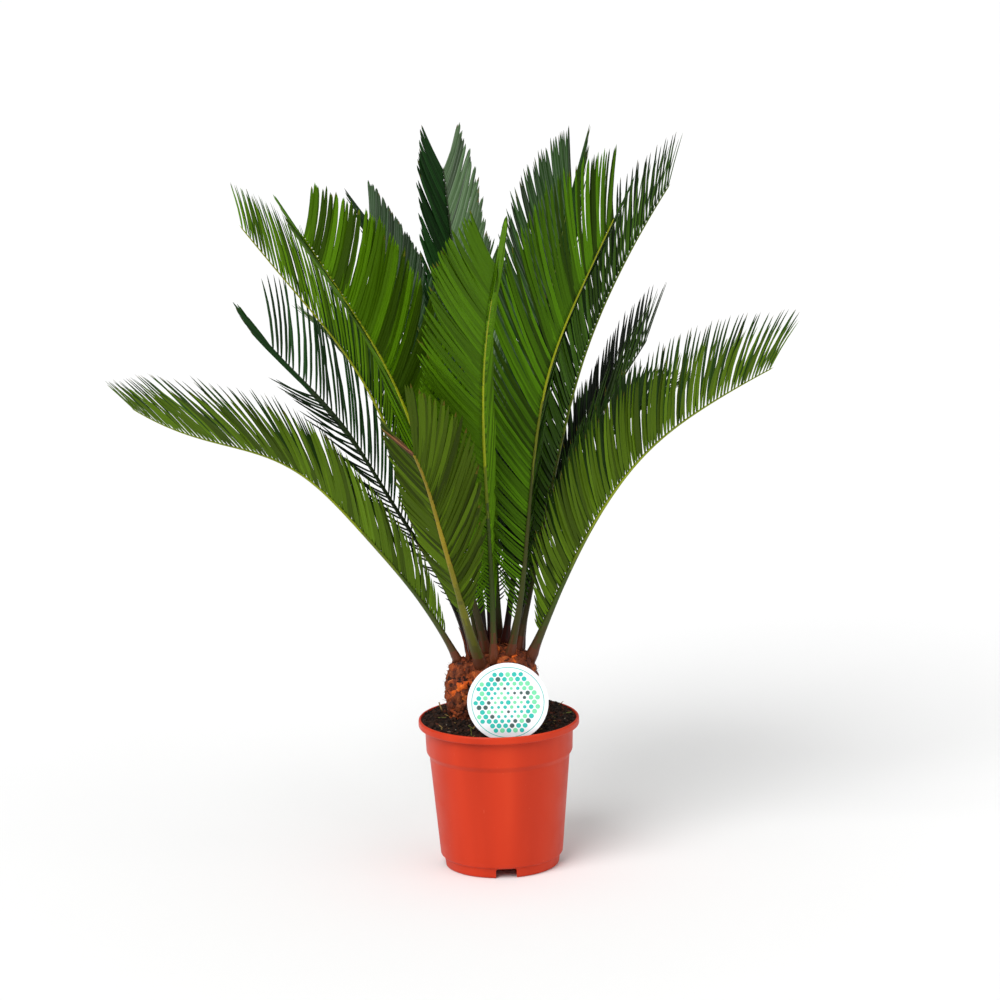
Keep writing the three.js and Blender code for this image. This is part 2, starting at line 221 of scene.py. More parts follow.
# ---- fronds --------------------------------------------------------------------
# The sizes of the frame's fronds; a few rows of leaflets stand a little steeper or flatter than
# the edge of their blade. pairs is leaflets on each side, family the
# leaf colours, stalk the colours up the bare stalk.
FRONDS = [
    dict(name="frond_left_low", base=(-43, 0, 228), az=190.1, drift=0.2, len=446.8, rise=[63.3, 52.2, 46.6, 17.4, 33.6], bare=0.15, leaf=107, sweep=[42, 40, 40, 46, 22], vee=44, roll=0, grow=[0.72, 0.95, 0.95, 0.96, 0.4], pairs=82, family="mid", stalk="olive"),
    dict(name="frond_left_back", base=(-29, 16, 230), az=158.3, drift=-1.3, len=434.8, rise=[76.3, 55.6, 56.9, 44, 49], bare=0.22, leaf=120, sweep=[60, 50, 47, 60, 34], vee=35, roll=-9, skew=[22, -12], lean=[-15, 0], reach=[0.78, 1], grow=[0.5, 0.9, 1, 0.95, 0.26], pairs=52, family="dark", stalk="dark"),
    dict(name="frond_upper_left_outer", base=(-25, -1, 234), az=205.6, drift=2.5, len=533.4, rise=[74.7, 68.3, 66.2, 51.5, 51.5], bare=0.2, leaf=104, sweep=[54, 43, 39, 40, 39], vee=68, roll=0, skew=[-12, -2], grow=[0.5, 0.9, 1, 0.95, 0.46], pairs=66, family="fresh", stalk="brown"),
    dict(name="frond_upper_left_front", base=(-12, -8, 236), az=225.2, drift=2.3, len=527.1, rise=[75, 66.7, 66.5, 53.5, 50.7], bare=0.2, leaf=112, sweep=[60, 50, 46, 44, 37], vee=42, roll=12, skew=[0, -28], lean=[0, -12], grow=[0.5, 0.9, 1, 0.95, 0.55], pairs=102, family="vivid", stalk="brown"),
    dict(name="frond_front_short", base=(-18, -24, 226), az=244.7, drift=-0.8, len=283, rise=[56, 62, 63, 63, 50], bare=0.3, leaf=107, sweep=[50, 44, 38, 32, 20], vee=26, roll=0, skew=[-4, 8], lean=[0, -14], reach=[1, 0.6], grow=[0.35, 0.8, 1, 1, 0.95], pairs=60, family="olive", stalk="fresh"),
    dict(name="frond_front_tall", base=(-4, -24, 234), az=258.1, drift=23.2, len=528, rise=[96.5, 73, 54.9, 45.6, 45.2], bare=0.2, leaf=118, sweep=[50, 38, 32, 29, 24], vee=38, roll=28, skew=[-19, 3], reach=[1.03, 1], grow=[0.5, 0.9, 1, 1, 0.7], pairs=104, family="sunny", stalk="green"),
    dict(name="frond_top_back", base=(-5, 20, 240), az=109.5, drift=-3.6, len=505.2, rise=[82.9, 77.8, 72.5, 72.1, 68.7], bare=0.24, leaf=104, sweep=[50, 38, 30, 27, 26], vee=20, roll=10, skew=[3, -3], grow=[0.5, 0.9, 1, 0.88, 0.55], pairs=88, family="dark", stalk="dark"),
    dict(name="frond_back_left", base=(-14, 13.5, 239), az=139.6, drift=-1.2, len=469.1, rise=[88.2, 80.1, 71.4, 62.8, 55.2], bare=0.24, leaf=100, sweep=[60, 50, 40, 32, 25], vee=32, roll=-22, skew=[0, 5], grow=[0.5, 0.66, 0.58, 0.58, 0.46], pairs=88, family="grey", stalk="dark"),
    dict(name="frond_upper_right_front", base=(14, -16, 234), az=316.1, drift=0.4, len=496.5, rise=[71.9, 82, 77.8, 61.1, 57.7], bare=0.2, leaf=114, sweep=[60, 47, 40, 36, 22], vee=44, roll=-14, skew=[-6, 0], reach=[0.62, 1], grow=[0.5, 0.95, 1.12, 1.18, 0.74], pairs=96, family="leafy", stalk="umber"),
    dict(name="frond_right_tall", base=(22, 6, 234), az=20, drift=0, len=514.9, rise=[75.8, 76.3, 73.7, 62.1, 53.5], bare=0.22, leaf=100, sweep=[56, 45, 39, 35, 28], vee=64, roll=0, skew=[0, 4], grow=[0.5, 0.9, 1, 0.9, 0.6], pairs=68, family="dusk", stalk="brown"),
    dict(name="frond_right_back", base=(25, 20, 232), az=40, drift=1.1, len=363.6, rise=[80, 68.4, 55.4, 47.6, 44.7], bare=0.26, leaf=82, sweep=[32, 28, 26, 24, 22], vee=34, roll=2, skew=[7, 4], lean=[0, 46], grow=[0.25, 0.45, 0.8, 1, 0.88], pairs=52, family="deep", stalk="dark"),
    dict(name="frond_right_low", base=(36, -2, 230), az=351.5, drift=-2.1, len=408, rise=[65.4, 63.6, 53.8, 35.4, 28], bare=0.15, leaf=103, sweep=[56, 52, 53, 58, 43], vee=62, roll=8, grow=[0.65, 0.95, 1.0, 0.9, 0.68], pairs=84, family="mid", stalk="olive"),
    dict(name="frond_top_right_back", base=(9, 17, 241), az=52, drift=-1.4, len=482, rise=[75.8, 76.2, 76.1, 72.5, 68.2], bare=0.26, leaf=116, sweep=[50, 44, 42, 33, 19], vee=26, roll=-8, skew=[0, -8], grow=[0.45, 0.85, 1, 1, 0.62], pairs=118, family="moss", stalk="dark"),
    dict(name="frond_rear", base=(1, 33, 236), az=96, drift=0, len=460, rise=[84, 72, 58, 42, 26], bare=0.22, leaf=100, sweep=[60, 50, 46, 40, 24], vee=38, roll=0, grow=[0.45, 0.9, 1, 0.88, 0.6], pairs=80, family="mid", stalk="olive"),
    dict(name="frond_rear_right", base=(17, 30, 233), az=50, drift=0, len=370, rise=[72, 56, 40, 24, 10], bare=0.22, leaf=95, sweep=[60, 50, 46, 40, 24], vee=38, roll=0, grow=[0.45, 0.9, 1, 0.88, 0.6], pairs=66, family="mid", stalk="olive"),
    dict(name="frond_rear_left", base=(-18, 27, 231), az=126, drift=0, len=430, rise=[74, 62, 48, 34, 20], bare=0.22, leaf=95, sweep=[60, 50, 46, 40, 24], vee=38, roll=0, grow=[0.45, 0.9, 1, 0.88, 0.6], pairs=74, family="mid", stalk="olive"),
]
LEAF_CURL = 0.35
SPINE_STEPS = 60

# family: outer (under) side, inner (upper) side, rib, and gloss of the inner side
FAMILIES = {
    "bright": dict(under=(70, 108, 4), upper=(44, 86, 6), rib=(158, 164, 10), gloss=0.0),
    "vivid": dict(under=(76, 116, 4), upper=(52, 94, 6), rib=(148, 158, 10), gloss=0.0),
    "leafy": dict(under=(62, 98, 6), upper=(38, 74, 8), rib=(140, 146, 14), gloss=0.0),
    "fresh": dict(under=(80, 116, 14), upper=(38, 74, 14), rib=(140, 148, 18), gloss=0.0),
    "mid": dict(under=(76, 102, 14), upper=(36, 62, 14), rib=(128, 142, 22), gloss=0.0),
    "olive": dict(under=(68, 90, 10), upper=(50, 72, 10), rib=(140, 122, 22), gloss=0.0),
    "dark": dict(under=(42, 78, 22), upper=(23, 54, 18), rib=(36, 50, 22), gloss=0.0),
    "grey": dict(under=(58, 88, 42), upper=(36, 60, 30), rib=(86, 102, 40), gloss=0.2),
    # pale: a lighter, greyer copy of dark for frond_top_back's second row, a painted reflection of the light on its lit
    # side
    "pale": dict(under=(88, 116, 74), upper=(72, 96, 62), rib=(86, 102, 40), gloss=0.2),
    "dusk": dict(under=(44, 70, 14), upper=(22, 40, 12), rib=(100, 116, 24), gloss=0.0),
    "band": dict(under=(54, 86, 12), upper=(34, 62, 12), rib=(100, 116, 24), gloss=0.0),
    # sunny: frond_front_tall's first row, its upper side painted nearly as light as its under side, painted light where
    # that side lies in shade
    "sunny": dict(under=(84, 126, 8), upper=(84, 128, 10), rib=(150, 160, 10), gloss=0.0),
    "moss": dict(under=(54, 88, 26), upper=(34, 62, 20), rib=(86, 102, 40), gloss=0.1),
    "deep": dict(under=(44, 60, 30), upper=(30, 38, 28), rib=(46, 58, 26), gloss=0.1),
}
# fronds whose two rows of leaflets differ: the family of the second row
SECOND = {"frond_front_tall": "bright", "frond_top_back": "pale", "frond_right_tall": "band", "frond_right_back": "dusk"}
STALKS = {
    "olive": [(94, 50, 30), (76, 56, 30), (68, 64, 28), (64, 74, 26), (62, 80, 22)],
    "fresh": [(92, 50, 30), (84, 66, 30), (76, 74, 28), (86, 86, 24), (102, 102, 20)],
    "umber": [(100, 52, 30), (84, 54, 28), (68, 58, 24), (60, 60, 20), (58, 64, 16)],
    "brown": [(98, 50, 30), (84, 54, 30), (70, 54, 28), (60, 54, 26), (58, 62, 22)],
    "green": [(106, 54, 30), (90, 58, 30), (70, 68, 26), (62, 74, 24), (58, 74, 20)],
    "dark": [(66, 28, 22), (50, 27, 22), (40, 27, 20), (34, 32, 20), (34, 42, 20)],
}
TINTS = {"bright": (0.88, 1.0, 1.1), "vivid": (0.66, 0.92, 1.1), "leafy": (0.62, 0.94, 1.16),
         "olive": (0.66, 0.94, 1.14), "pale": (0.74, 1.0, 1.12), "moss": (0.72, 1.0, 1.14)}


def scaled(rgb, k, warm=0.0):
    return (min(255, rgb[0] * k + warm), min(255, rgb[1] * k), min(255, rgb[2] * k))


# half width and half thickness of the stalk where it leaves the trunk and at the first leaflets
FOOT = {"frond_left_low": (7.2, 4.0, 4.9, 3.2), "frond_front_short": (7.4, 3.8, 4.6, 3.0),
        "frond_upper_right_front": (4.9, 2.6, 3.2, 2.2), "frond_right_low": (7.2, 4.0, 6.8, 3.6),
        "frond_front_tall": (4.0, 2.4, 3.1, 2.0), "frond_upper_left_front": (4.8, 3.0, 4.4, 2.8),
        "frond_upper_left_outer": (4.2, 2.8, 4.6, 2.9), "frond_right_tall": (4.2, 2.8, 4.6, 2.9),
        "frond_left_back": (4.4, 3.4, 4.2, 3.0), "frond_rear": (5.6, 3.2, 4.6, 3.0), "frond_rear_left": (5.6, 3.2, 4.6, 3.0),
        "frond_rear_right": (5.6, 3.2, 4.6, 3.0)}
LEAF_HALF = {"frond_left_low": (1.7, 1.85, 1.0), "frond_left_back": (1.5, 1.45, 1.6),
             "frond_upper_left_outer": (1.5, 1.15, 1.15), "frond_upper_left_front": (1.8, 2.5, 2.3),
             "frond_front_short": (1.6, 2.1, 2.0), "frond_front_tall": (1.2, 1.95, 2.2),
             "frond_top_back": (2.2, 2.8, 2.3), "frond_back_left": (2.0, 2.7, 2.3),
             "frond_upper_right_front": (1.3, 1.65, 1.3), "frond_right_tall": (2.3, 2.0, 1.15),
             "frond_right_back": (1.4, 1.7, 1.3), "frond_right_low": (1.9, 1.8, 1.2),
             "frond_top_right_back": (2.4, 2.5, 1.9)}
# fronds whose leaflets keep their width nearly to the tip
BLUNT = {"frond_upper_left_front", "frond_front_tall", "frond_top_back", "frond_back_left",
         "frond_upper_right_front", "frond_front_short"}
# the share of the blade at which the rib has its full colour, where that is late
RIPE = {"frond_upper_right_front": 0.8}
# how far each row's leaflets turn about their own length, degrees
TURNED = {"frond_left_back": (-60, 10), "frond_front_tall": (-38, 10), "frond_upper_left_front": (10, -5)}
# the width of each row's leaflets, as a share of LEAF_HALF
SHARE = {"frond_left_back": (0.72, 1), "frond_top_back": (1.25, 0.86), "frond_front_short": (1.2, 1), "frond_front_tall": (1.6, 1)}
# how far each row swings out, or in, over the last part of the rib, degrees
ENDS = {"frond_front_tall": (-9, 4), "frond_upper_left_front": (6, -5), "frond_top_back": (3, 4)}
# how much the leaflets stray along the rib, as a share of their spacing
STRAY = {"frond_upper_left_outer": 0.1, "frond_right_tall": 0.08, "frond_left_low": 0.14,
         "frond_right_low": 0.14}
# how many leaflets in turn share a tint, where it is not one to three
RUNS = {"frond_front_tall": (1,), "frond_upper_right_front": (1, 1, 2), "frond_front_short": (1,),
        "frond_left_low": (1, 1, 2), "frond_right_low": (1, 1, 2), "frond_top_right_back": (1, 1, 2)}
# for each row, the share of the blade beyond which its leaflets are short and lie along the rib
FOLDED = {"frond_left_back": (0.66, 0.868)}

leaf_mats, rib_mats = {}, {}
for fam, c in FAMILIES.items():
    tints = TINTS.get(fam, (0.78, 1.0, 1.16))
    leaf_mats[fam] = (
        [plain(f"leaf_{fam}_upper_{i}", scaled(c["upper"], k), 0.42, 0.1, c["gloss"], 0.24)
         for i, k in enumerate(tints)]
        + [plain(f"leaf_{fam}_under_{i}", scaled(c["under"], k), 0.5, 0.06)
           for i, k in enumerate(tints)]
        + [plain(f"leaf_{fam}_tip", scaled(c["under"], 0.8, 26), 0.6, 0.14)])
for f in FRONDS:
    key = (f["stalk"], f["family"])
    if key in rib_mats:
        continue
    rib = FAMILIES[f["family"]]["rib"]
    low = STALKS[f["stalk"]]
    mixed = tuple(0.5 * (a + b) for a, b in zip(low[-1], rib))
    steps = low + [mixed, rib, scaled(rib, 1.04), scaled(rib, 0.96)]
    rib_mats[key] = [plain(f"rib_{key[0]}_{key[1]}_{i}", rgb, 0.45, 0.2) for i, rgb in enumerate(steps)]


class Spine:
    def __init__(self, f):
        self.f = f
        at = [np.array(f["base"], float)]
        for i in range(SPINE_STEPS):
            s = (i + 0.5) / SPINE_STEPS
            at.append(at[-1] + self.direction(s) * f["len"] / SPINE_STEPS)
        self.at = at
        self.out = unit(np.array([at[-1][0] - at[0][0], at[-1][1] - at[0][1], 0.0]))

    def direction(self, s):
        f = self.f
        climb = math.radians(along(f["rise"], s))
        az = math.radians(f["az"] + f["drift"] * min(max(s, 0), 1))
        return np.array([math.cos(climb) * math.cos(az), math.cos(climb) * math.sin(az), math.sin(climb)])

    def frame(self, s):
        """point, direction, inner normal and side direction at a share of the rib"""
        x = min(max(s, 0.0), 1.0) * SPINE_STEPS
        i = min(int(x), SPINE_STEPS - 1)
        p = self.at[i] + (self.at[i + 1] - self.at[i]) * (x - i)
        t = self.direction(s)
        up = unit(-self.out + t * float(self.out @ t))
        side = np.cross(t, up)
        c, n = math.cos(math.radians(self.f["roll"])), math.sin(math.radians(self.f["roll"]))
        if s < 0:
            p = p + t * s * self.f["len"]
        if s > 1:
            p = p + t * (s - 1) * self.f["len"]
        return p, t, c * up + n * side, c * side - n * up


def rib_size(f, s):
    """half width and half thickness of stalk and rib, mm"""
    foot, neck, deep, slim = FOOT.get(f["name"], (4.2, 2.8, 4.1, 2.6))
    if s < f["bare"]:
        k = max(s, 0) / f["bare"]
        wide, thick = foot + (neck - foot) * k ** 0.8, deep + (slim - deep) * k ** 0.8
        flare = math.exp(-max(s, 0) * f["len"] / 9.0)
        return wide + 1.6 * flare, thick + 1.4 * flare
    k = (s - f["bare"]) / (1 - f["bare"])
    if f["name"] == "frond_left_back":
        # its outer half is swollen where the dry leaflets lie against it
        wide = along((3.4, 2.6, 2.6, 4.1, 2.3, 0.7), k)
        return wide, min(0.8 * wide, slim)
    end = {"frond_front_short": 1.7}.get(f["name"], 0.7)
    return neck + (end - neck) * k ** 0.6, slim + (max(0.7, end - 0.5) - slim) * k ** 0.6


LEAF_U = (0.0, 0.05, 0.18, 0.42, 0.66, 0.84, 0.94)
LEAF_W = (0.5, 0.76, 1.0, 1.0, 0.88, 0.6, 0.32)
BLUNT_W = (0.9, 1.0, 1.0, 1.0, 0.97, 0.82, 0.56)


def leaflet_mesh(shape, base, d, turn, inner, length, half, fam_tint, tilt, curl, droop, tip_slot, widths):
    """One leaflet: a strap with curled-under edges and a raised midrib below."""
    bend = turn - d * float(turn @ d)
    verts = []
    for u, w in zip(LEAF_U + (1.0,), widths + (0.0,)):
        c = base + length * (u * d + 0.5 * curl * u * u * bend) + np.array([0, 0, -1.0]) * droop * length * u * u
        if w == 0.0:
            verts.append(tuple(c))
            continue
        dk = unit(d + curl * u * bend - np.array([0, 0, 2.0]) * droop * u)
        wk = unit(turn - dk * float(turn @ dk))
        nk = np.cross(dk, wk)
        if float(nk @ inner) < 0:
            wk, nk = -wk, -nk
        ct, st = math.cos(tilt), math.sin(tilt)
        wk, nk = ct * wk + st * nk, ct * nk - st * wk
        h = half * w
        thick = 0.22 + 0.1 * w
        for a, b in ((1.0, -0.34 * h), (0.58, 0.02 * h), (0.0, -0.02 * h), (-0.58, 0.02 * h), (-1.0, -0.34 * h),
                     (-0.5, -0.1 * h - thick), (0.0, -thick - 0.2 * h), (0.5, -0.1 * h - thick)):
            verts.append(tuple(c + wk * a * h + nk * b))
    rings, around = len(LEAF_U), 8
    faces, mats, sharp = [], [], []
    for k in range(rings - 1):
        for j in range(around):
            a, b = k * around + j, k * around + (j + 1) % around
            faces.append((a, b, b + around, a + around))
            mats.append(fam_tint if j < 4 else fam_tint + 3)
        for j in (0, 4, 6):
            sharp.append((k * around + j, (k + 1) * around + j))
    tip = rings * around
    for j in range(around):
        a, b = (rings - 1) * around + j, (rings - 1) * around + (j + 1) % around
        faces.append((a, b, tip))
        mats.append(tip_slot if tip_slot is not None else (fam_tint if j < 4 else fam_tint + 3))
    faces.append(tuple(reversed(range(around))))
    mats.append(fam_tint + 3)
    shape.add(verts, faces, mats, sharp)


def build_frond(f, seed):
    r = random.Random(seed)
    sp = Spine(f)
    # rib
    rib = Shape()
    stations = [-10.0 / f["len"]] + [f["bare"] * k / 9 for k in range(10)]
    stations += [f["bare"] + (1 - f["bare"]) * k / 44 for k in range(1, 45)]
    rounds = 12
    for s in stations:
        p, t, n, a = sp.frame(s)
        wide, thick = rib_size(f, s)
        wob = 1 + 0.05 * math.sin(s * 37 + seed)
        for j in range(rounds):
            ang = 2 * math.pi * j / rounds
            x, y = math.cos(ang), math.sin(ang)
            # the inner side is nearly flat with a shallow groove, the outer side round
            lift = thick * (y * (0.62 if y > 0 else 1.0)) - (0.16 * thick if y > 0.95 else 0.0)
            rib.v.append(tuple(p + a * wide * wob * x + n * lift))
    faces = ring_faces(len(stations), rounds, caps=False)
    mats = []
    for k in range(len(stations) - 1):
        s = 0.5 * (stations[k] + stations[k + 1])
        for j in range(rounds):
            if s < f["bare"]:
                # orange at the very foot, then brown, then olive up the stalk
                up = max(s, 0) * f["len"] * r.uniform(0.8, 1.2) + r.uniform(-3, 3)
                step = sum(up > mark for mark in (8, 16, 30, 58))
            else:
                k_rib = min(1.0, (s - f["bare"]) / (1 - f["bare"]) / RIPE.get(f["name"], 0.62))
                step = 4 + 4.6 * (k_rib ** 1.5 if f["name"] in RIPE else k_rib) + r.uniform(-0.3, 0.3)
            mats.append(int(min(max(step, 0), 8)))
    # closed ends
    n = len(rib.v)
    p, t, nn, a = sp.frame(1.0)
    rib.v.append(tuple(p + t * 5.0))
    last = (len(stations) - 1) * rounds
    for j in range(rounds):
        faces.append((last + j, last + (j + 1) % rounds, n))
        mats.append(7)
    faces.append(tuple(reversed(range(rounds))))
    mats.append(0)
    rib.f, rib.m = faces, mats
    # leaflets
    leaves = Shape()
    pairs = f["pairs"]
    for side in (-1, 1):
        spray, left = 0, 0
        row = 0 if side < 0 else 1
        low = int((0.25 if f["name"] == "frond_front_short" else 0.6) * f["bare"] * (pairs - 1) / (1 - f["bare"]))
        for i in range(-low, pairs):
            stray = STRAY.get(f["name"], 0.22)
            t_blade = (i + r.uniform(-stray, stray)) / (pairs - 1)
            down = max(0.0, -i / (low + 1))
            s = f["bare"] + (1 - f["bare"]) * min(t_blade, 1.0)
            p, t, n, a = sp.frame(s)
            tb = min(max(t_blade, 0.0), 1.0)
            sweep = math.radians(along(f["sweep"], tb) + f.get("skew", (0, 0))[row] + r.gauss(0, 1.3)
                                 + ENDS.get(f["name"], (0, 0))[row] * max(0.0, tb - 0.6) / 0.4)
            vee = math.radians(f["vee"] + f.get("lean", (0, 0))[row] + r.gauss(0, 1.8))
            length = f["leaf"] * along(f["grow"], tb) * f.get("reach", (1, 1))[row] * (1 + r.gauss(0, 0.022))
            half = along(LEAF_HALF.get(f["name"], (1.5, 2.1, 1.7)), tb) * (0.82 + 0.18 * min(1, length / 90))
            if down > 0:
                # shorter and shorter down the stalk
                length *= (1 - 0.86 * down) * r.uniform(0.9, 1.05)
                half *= 1 - 0.5 * down
            if tb > 0.93:
                half *= 0.86
            tilt = r.gauss(TURNED.get(f["name"], (10, 10))[row], 6)
            half *= SHARE.get(f["name"], (1, 1))[row]
            if tb > FOLDED.get(f["name"], (1.0, 1.0))[row]:
                tilt = r.uniform(-80, -20) if row == 0 else r.uniform(30, 110)
                sweep = math.radians((8 if row == 0 else 5) + r.gauss(0, 1.5))
                length *= 0.85 if row == 0 else 0.5
                half *= 1.9 if row == 0 else 1.4
            d = (math.cos(sweep) * t + math.sin(sweep) * (math.cos(vee) * side * a + math.sin(vee) * n))
            wide, thick = rib_size(f, s)
            base = p + a * side * wide * 0.62 + n * thick * 0.3
            if left == 0:
                spray, left = r.choice((0, 1, 1, 2)), r.choice(RUNS.get(f["name"], (1, 1, 2, 3)))
            left -= 1
            # near its foot the first row of frond_upper_left_front always takes its lightest tint: painted light on
            # leaflets that lie in shade
            tint = 2 if f["name"] == "frond_upper_left_front" and row == 0 and tb < 0.42 else spray
            tip = 6 if r.random() < (0.12 if f["name"] in BLUNT else 0.35) else None
            shift = 7 if row == 1 and f["name"] in SECOND else 0
            leaflet_mesh(leaves, base, unit(d), t, n, length, half, tint + shift,
                         math.radians(tilt), LEAF_CURL + r.gauss(0, 0.03),
                         r.gauss(0.0, 0.006), tip + shift if tip is not None else None,
                         BLUNT_W if f["name"] in BLUNT else LEAF_W)
    rib_ob = rib.object(f["name"] + "_rib", rib_mats[(f["stalk"], f["family"])])
    both = leaf_mats[f["family"]] + (leaf_mats[SECOND[f["name"]]] if f["name"] in SECOND else [])
    leaf_ob = leaves.object(f["name"] + "_leaflets", both)
    for ob, slot in ((rib_ob, "stalk"), (leaf_ob, SLOTS[f["family"]])):
        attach(ob, "root")
        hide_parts(f["name"])
    return rib_ob, leaf_ob


SLOTS = {"bright": "leaf_bright", "vivid": "leaf_bright", "leafy": "leaf_bright", "fresh": "leaf_bright",
         "mid": "leaf_mid", "olive": "leaf_olive", "dark": "leaf_dark", "grey": "leaf_dark",
         "sunny": "leaf_bright", "moss": "leaf_dark", "dusk": "leaf_dark", "deep": "leaf_dark"}
for k, f in enumerate(FRONDS):
    build_frond(f, 100 + 17 * k)


# the front frond's rib breaks off in a dead, folded tip
def dead_tip():
    f = next(x for x in FRONDS if x["name"] == "frond_front_short")
    sp = Spine(f)
    p0, t0, n0, a0 = sp.frame(1.0)
    r = random.Random(77)
    mat = [plain("dead_leaf", (140, 96, 58), 0.75, 0.25), plain("dead_leaf_dark", (88, 58, 38), 0.8, 0.2)]
    shape = Shape()
    goal = unit(np.array([-0.74, -0.05, 0.66]))
    for k in range(7):
        start = p0 + t0 * (k * 1.2 - 4)
        d = unit(0.35 * t0 + goal + np.array([r.gauss(0, .1), r.gauss(0, .1), r.gauss(0, .1)]))
        bend = unit(goal + np.array([r.gauss(0, .12), r.gauss(0, .12), r.gauss(0, .12)]))
        length = r.uniform(22, 38)
        verts = []
        for u, w in ((0, 0.9), (0.2, 1.0), (0.5, 0.9), (0.8, 0.55)):
            c = start + length * (u * d + 0.25 * u * u * bend)
            wk = unit(np.cross(d, n0))
            nk = np.cross(wk, d)
            h = 1.5 * w
            for ang in range(6):
                th = ang * math.pi / 3
                verts.append(tuple(c + wk * h * math.cos(th) + nk * 0.6 * h * math.sin(th)))
        verts.append(tuple(start + length * (d + 0.25 * bend)))
        faces = ring_faces(4, 6, caps=False)
        faces += [(18 + j, 18 + (j + 1) % 6, 24) for j in range(6)] + [tuple(reversed(range(6)))]
        shape.add(verts, faces, k % 2)
    ob = shape.object("frond_front_short_dead_tip", mat)
    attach(ob, "root")
    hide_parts("frond_front_short")


dead_tip()


# ---- pot -----------------------------------------------------------------------
POT_HEIGHT, LIP_R, LIP_UNDER = 159.8, 85.4, 151.8
COLLAR_R, COLLAR_BOTTOM = 78.7, 124.6
BODY_TOP_R, BODY_BOTTOM_R, FOOT_R, FOOT_H = 74.6, 65.2, 61.6, 10.4
WALL, PAD_R, NOTCH_W, NOTCH_FIRST = 1.7, 18, 22, -86


def rounded(points, sizes, steps=4):
    """A profile with its corners rounded, each by its own size."""
    out = []
    for i, p in enumerate(points):
        size = sizes[i]
        if not size or i in (0, len(points) - 1):
            out.append(p)
            continue
        p = np.array(p, float)
        a, b = np.array(points[i - 1], float), np.array(points[i + 1], float)
        size_a = min(size, 0.45 * np.linalg.norm(a - p))
        size_b = min(size, 0.45 * np.linalg.norm(b - p))
        s, e = p + unit(a - p) * size_a, p + unit(b - p) * size_b
        for k in range(steps + 1):
            u = k / steps
            out.append(tuple((1 - u) ** 2 * s + 2 * u * (1 - u) * p + u * u * e))
    return out


def lathe(profile, segments, closed_axis=True):
    """Verts and faces of a profile turned about +Z. Points on the axis are single."""
    verts, faces, rows = [], [], []
    for r, z in profile:
        if r < 1e-6:
            rows.append([len(verts)])
            verts.append((0.0, 0.0, z))
        else:
            rows.append(list(range(len(verts), len(verts) + segments)))
            verts += [(r * math.cos(2 * math.pi * k / segments), r * math.sin(2 * math.pi * k / segments), z)
                      for k in range(segments)]
    for a, b in zip(rows, rows[1:]):
        for k in range(segments):
            n = (k + 1) % segments
            if len(a) == 1 and len(b) == 1:
                break
            if len(a) == 1:
                faces.append((a[0], b[n], b[k]))
            elif len(b) == 1:
                faces.append((a[k], a[n], b[0]))
            else:
                faces.append((a[k], a[n], b[n], b[k]))
    return verts, faces


def pot_material():
    n = Nodes("pot_plastic", 0.46, 0.22)
    bands = n.noise(1.0, 2.0, 0.4, n.mapped((26, 26, 1.2)))
    broad = n.noise(9.0, 2.0, 0.5)
    colour = n.ramp(bands, [(0.3, (186, 46, 12)), (0.5, (198, 51, 15)), (0.7, (206, 58, 21))])
    colour = n.mix(n.grey(broad, 0.35, 0.0, 0.75, 0.25), colour, (186, 48, 20))
    # small pale scuffs and a little dust
    scuff = n.noise(210.0, 4.0, 0.62, n.mapped((1, 1, 0.45)), 0.8)
    colour = n.mix(n.grey(scuff, 0.69, 0.0, 0.78, 0.5), colour, (228, 124, 100))
    dark = n.noise(160.0, 3.0, 0.6)
    colour = n.mix(n.grey(dark, 0.7, 0.0, 0.8, 0.4), colour, (140, 44, 28))
    n.base(colour)
    n.roughness(n.grey(n.noise(34.0, 4.0, 0.6), 0.3, 0.36, 0.75, 0.54))
    n.bump(n.noise(620.0, 2.0, 0.5), 0.10, 0.0004)
    n.bump(n.noise(48.0, 2.0, 0.5, n.mapped((1, 1, 0.3))), 0.12, 0.0012)
    return n.m


